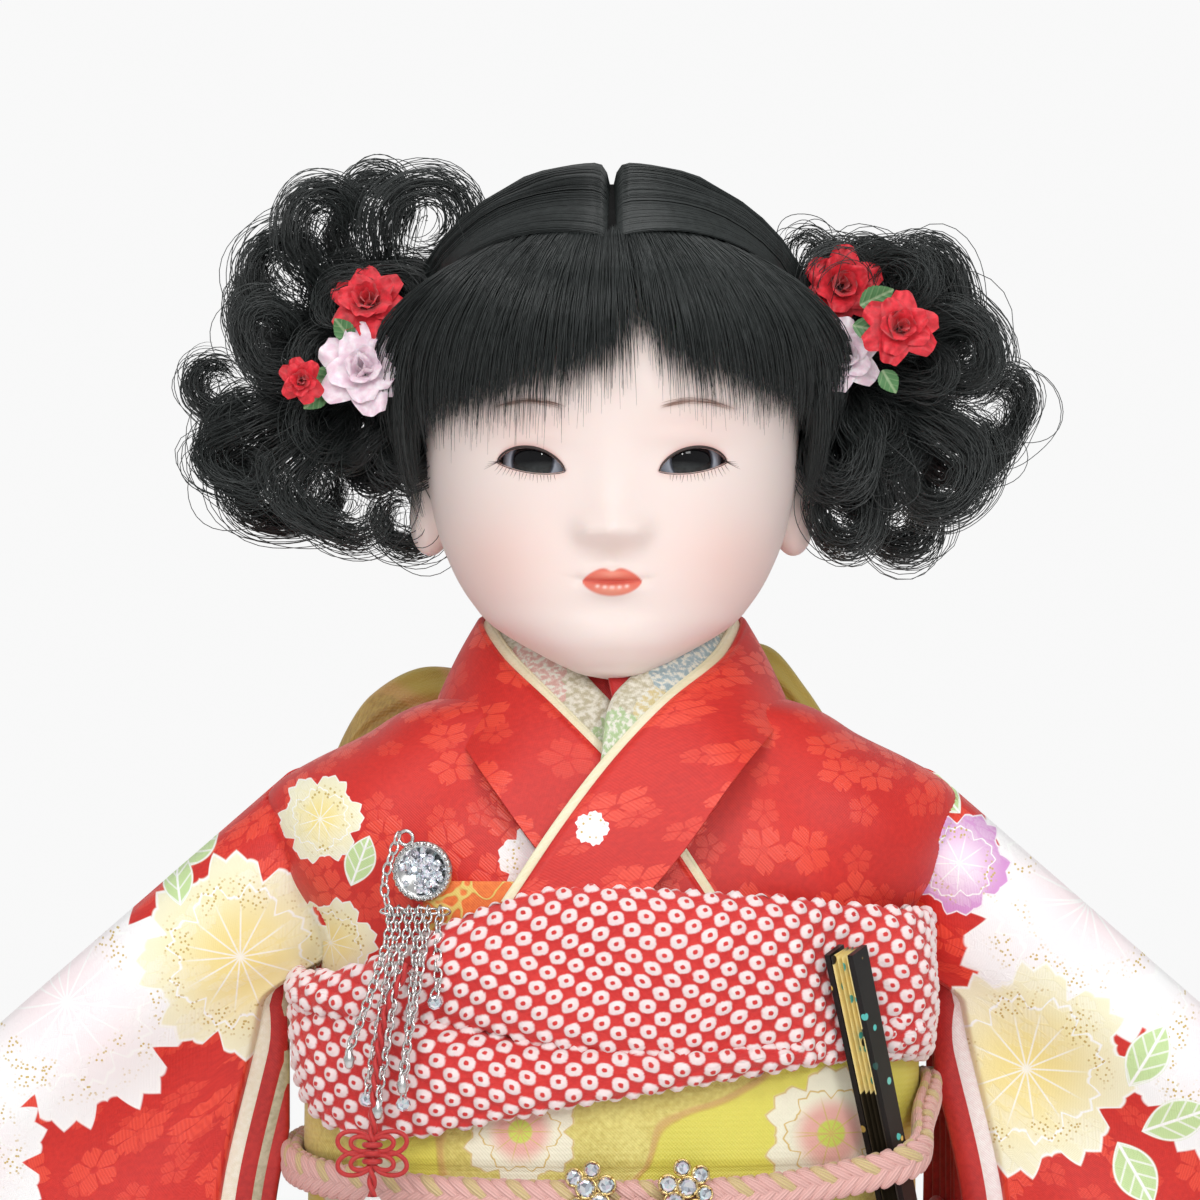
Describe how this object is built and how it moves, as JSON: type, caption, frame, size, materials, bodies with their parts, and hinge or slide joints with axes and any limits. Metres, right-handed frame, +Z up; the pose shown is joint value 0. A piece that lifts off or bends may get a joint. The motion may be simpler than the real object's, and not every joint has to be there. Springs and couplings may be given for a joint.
{
  "type": "ichimatsu doll",
  "caption": "Standing Japanese dress-up doll with a turning head, lifting arms, layered silk kimono, sash, tucked fan and chest case with hanging trinkets.",
  "frame": {"origin": "on the floor, under the middle of the doll's bounding box", "axes": "+Z up along the doll, the face looks along -Y, the doll's own left hand is on +X"},
  "size_m": [0.3262, 0.1218, 0.4409],
  "materials": {
    "gofun_skin": "wood-paste shell under polished oyster-shell white",
    "dark_glass": "dark glass eye, gloss",
    "black_hair": "combed black hair with a soft sheen",
    "red_silk": "crimson figured silk with printed blossoms",
    "brocade_silk": "silver and gold brocade",
    "cream_silk": "pale cream silk",
    "obi_brocade": "yellow gold brocade",
    "shibori_silk": "red tie-dyed crepe with white dots",
    "braid_silk": "pink braided silk with gold picks",
    "orange_brocade": "orange brocade with gold figures",
    "silver": "bright silver plate",
    "crystal_gold": "gilt setting with clear stones",
    "white_silk": "white silk threads",
    "black_lacquer": "black lacquer, gloss",
    "gold_paper": "folded gold paper",
    "leaf_green": "green cloth leaf",
    "rose_red": "red cloth petals",
    "rose_pink": "pale pink cloth petals",
    "sawdust_paste": "moulded wood paste",
    "wood": "turned wood",
    "white_cotton": "white cotton"
  },
  "bodies": {
    "dressed_body": {"trunk": "sawdust_paste", "left_tabi": "white_cotton", "right_tabi": "white_cotton", "left_zori": "red_silk", "right_zori": "red_silk", "under_robe": "white_cotton", "kimono_skirt": "red_silk", "kimono_overlap": "red_silk", "hem_roll": "red_silk", "waist_fold": "red_silk", "kimono_chest": "red_silk", "inner_collar": "red_silk", "brocade_collar": "brocade_silk", "pale_collar": "cream_silk", "kimono_collar": "red_silk", "obi_wrap": "obi_brocade", "obiage": "shibori_silk", "obi_brooch": "crystal_gold", "obi_braid": "braid_silk", "shigoki_sash": "red_silk", "obi_drum": "obi_brocade", "obi_hand_band": "obi_brocade", "obi_left_wing": "obi_brocade", "obi_right_wing": "obi_brocade"},
    "head": {"head_shell": "gofun_skin", "left_eye": "dark_glass", "right_eye": "dark_glass", "neck_peg": "wood", "left_hair": "black_hair", "right_hair": "black_hair", "fringe": "black_hair", "left_bunch": "black_hair", "right_bunch": "black_hair", "left_hair_tie": "red_silk", "right_hair_tie": "red_silk", "left_rose_upper": "rose_red", "left_rose_outer": "rose_red", "left_rose_pale": "rose_pink", "right_rose_upper": "rose_red", "right_rose_pale": "rose_pink", "right_rose_outer": "rose_red", "left_leaves": "leaf_green", "right_leaves": "leaf_green"},
    "left_arm_and_sleeve": {"left_sleeve": "red_silk", "left_sleeve_lining": "cream_silk", "left_arm": "white_cotton", "left_hand": "gofun_skin"},
    "right_arm_and_sleeve": {"right_sleeve": "red_silk", "right_sleeve_lining": "cream_silk", "right_arm": "white_cotton", "right_hand": "gofun_skin"},
    "case": {"chest_case": "orange_brocade", "silver_medallion": "silver"},
    "chains": {"silver_chains": "silver"},
    "tassel": {"red_cord": "red_silk", "white_tassel": "white_silk"},
    "fan": {"fan_front_guard": "black_lacquer", "fan_leaf": "gold_paper", "fan_back_guard": "black_lacquer", "fan_rivet": "silver"}
  },
  "joints": [
    {"name": "head_turn", "type": "hinge", "parent": "dressed_body", "child": "head", "pos_m": [0, -0.00666, 0.3173], "axis": [0, 0, 1], "range_deg": [-24, 24]},
    {"name": "left_arm_lift", "type": "hinge", "parent": "dressed_body", "child": "left_arm_and_sleeve", "pos_m": [0.052, -0.00666, 0.306], "axis": [0, -1, 0], "range_deg": [0, 24]},
    {"name": "right_arm_lift", "type": "hinge", "parent": "dressed_body", "child": "right_arm_and_sleeve", "pos_m": [-0.052, -0.00666, 0.306], "axis": [0, 1, 0], "range_deg": [0, 24]},
    {"name": "case_slide", "type": "slide", "parent": "dressed_body", "child": "case", "axis": [0, 0, 1], "range_m": [0, 0.022]},
    {"name": "chain_swing", "type": "hinge", "parent": "case", "child": "chains", "pos_m": [-0.03771, -0.04644, 0.2908], "axis": [-1, 0, 0], "range_deg": [0, 25]},
    {"name": "tassel_swing", "type": "hinge", "parent": "chains", "child": "tassel", "pos_m": [-0.04012, -0.0559, 0.281], "axis": [-1, 0, 0], "range_deg": [0, 30]},
    {"name": "fan_slide", "type": "slide", "parent": "dressed_body", "child": "fan", "axis": [-0.1999, -0.2756, 0.9403], "range_m": [0, 0.05]}
  ]
}
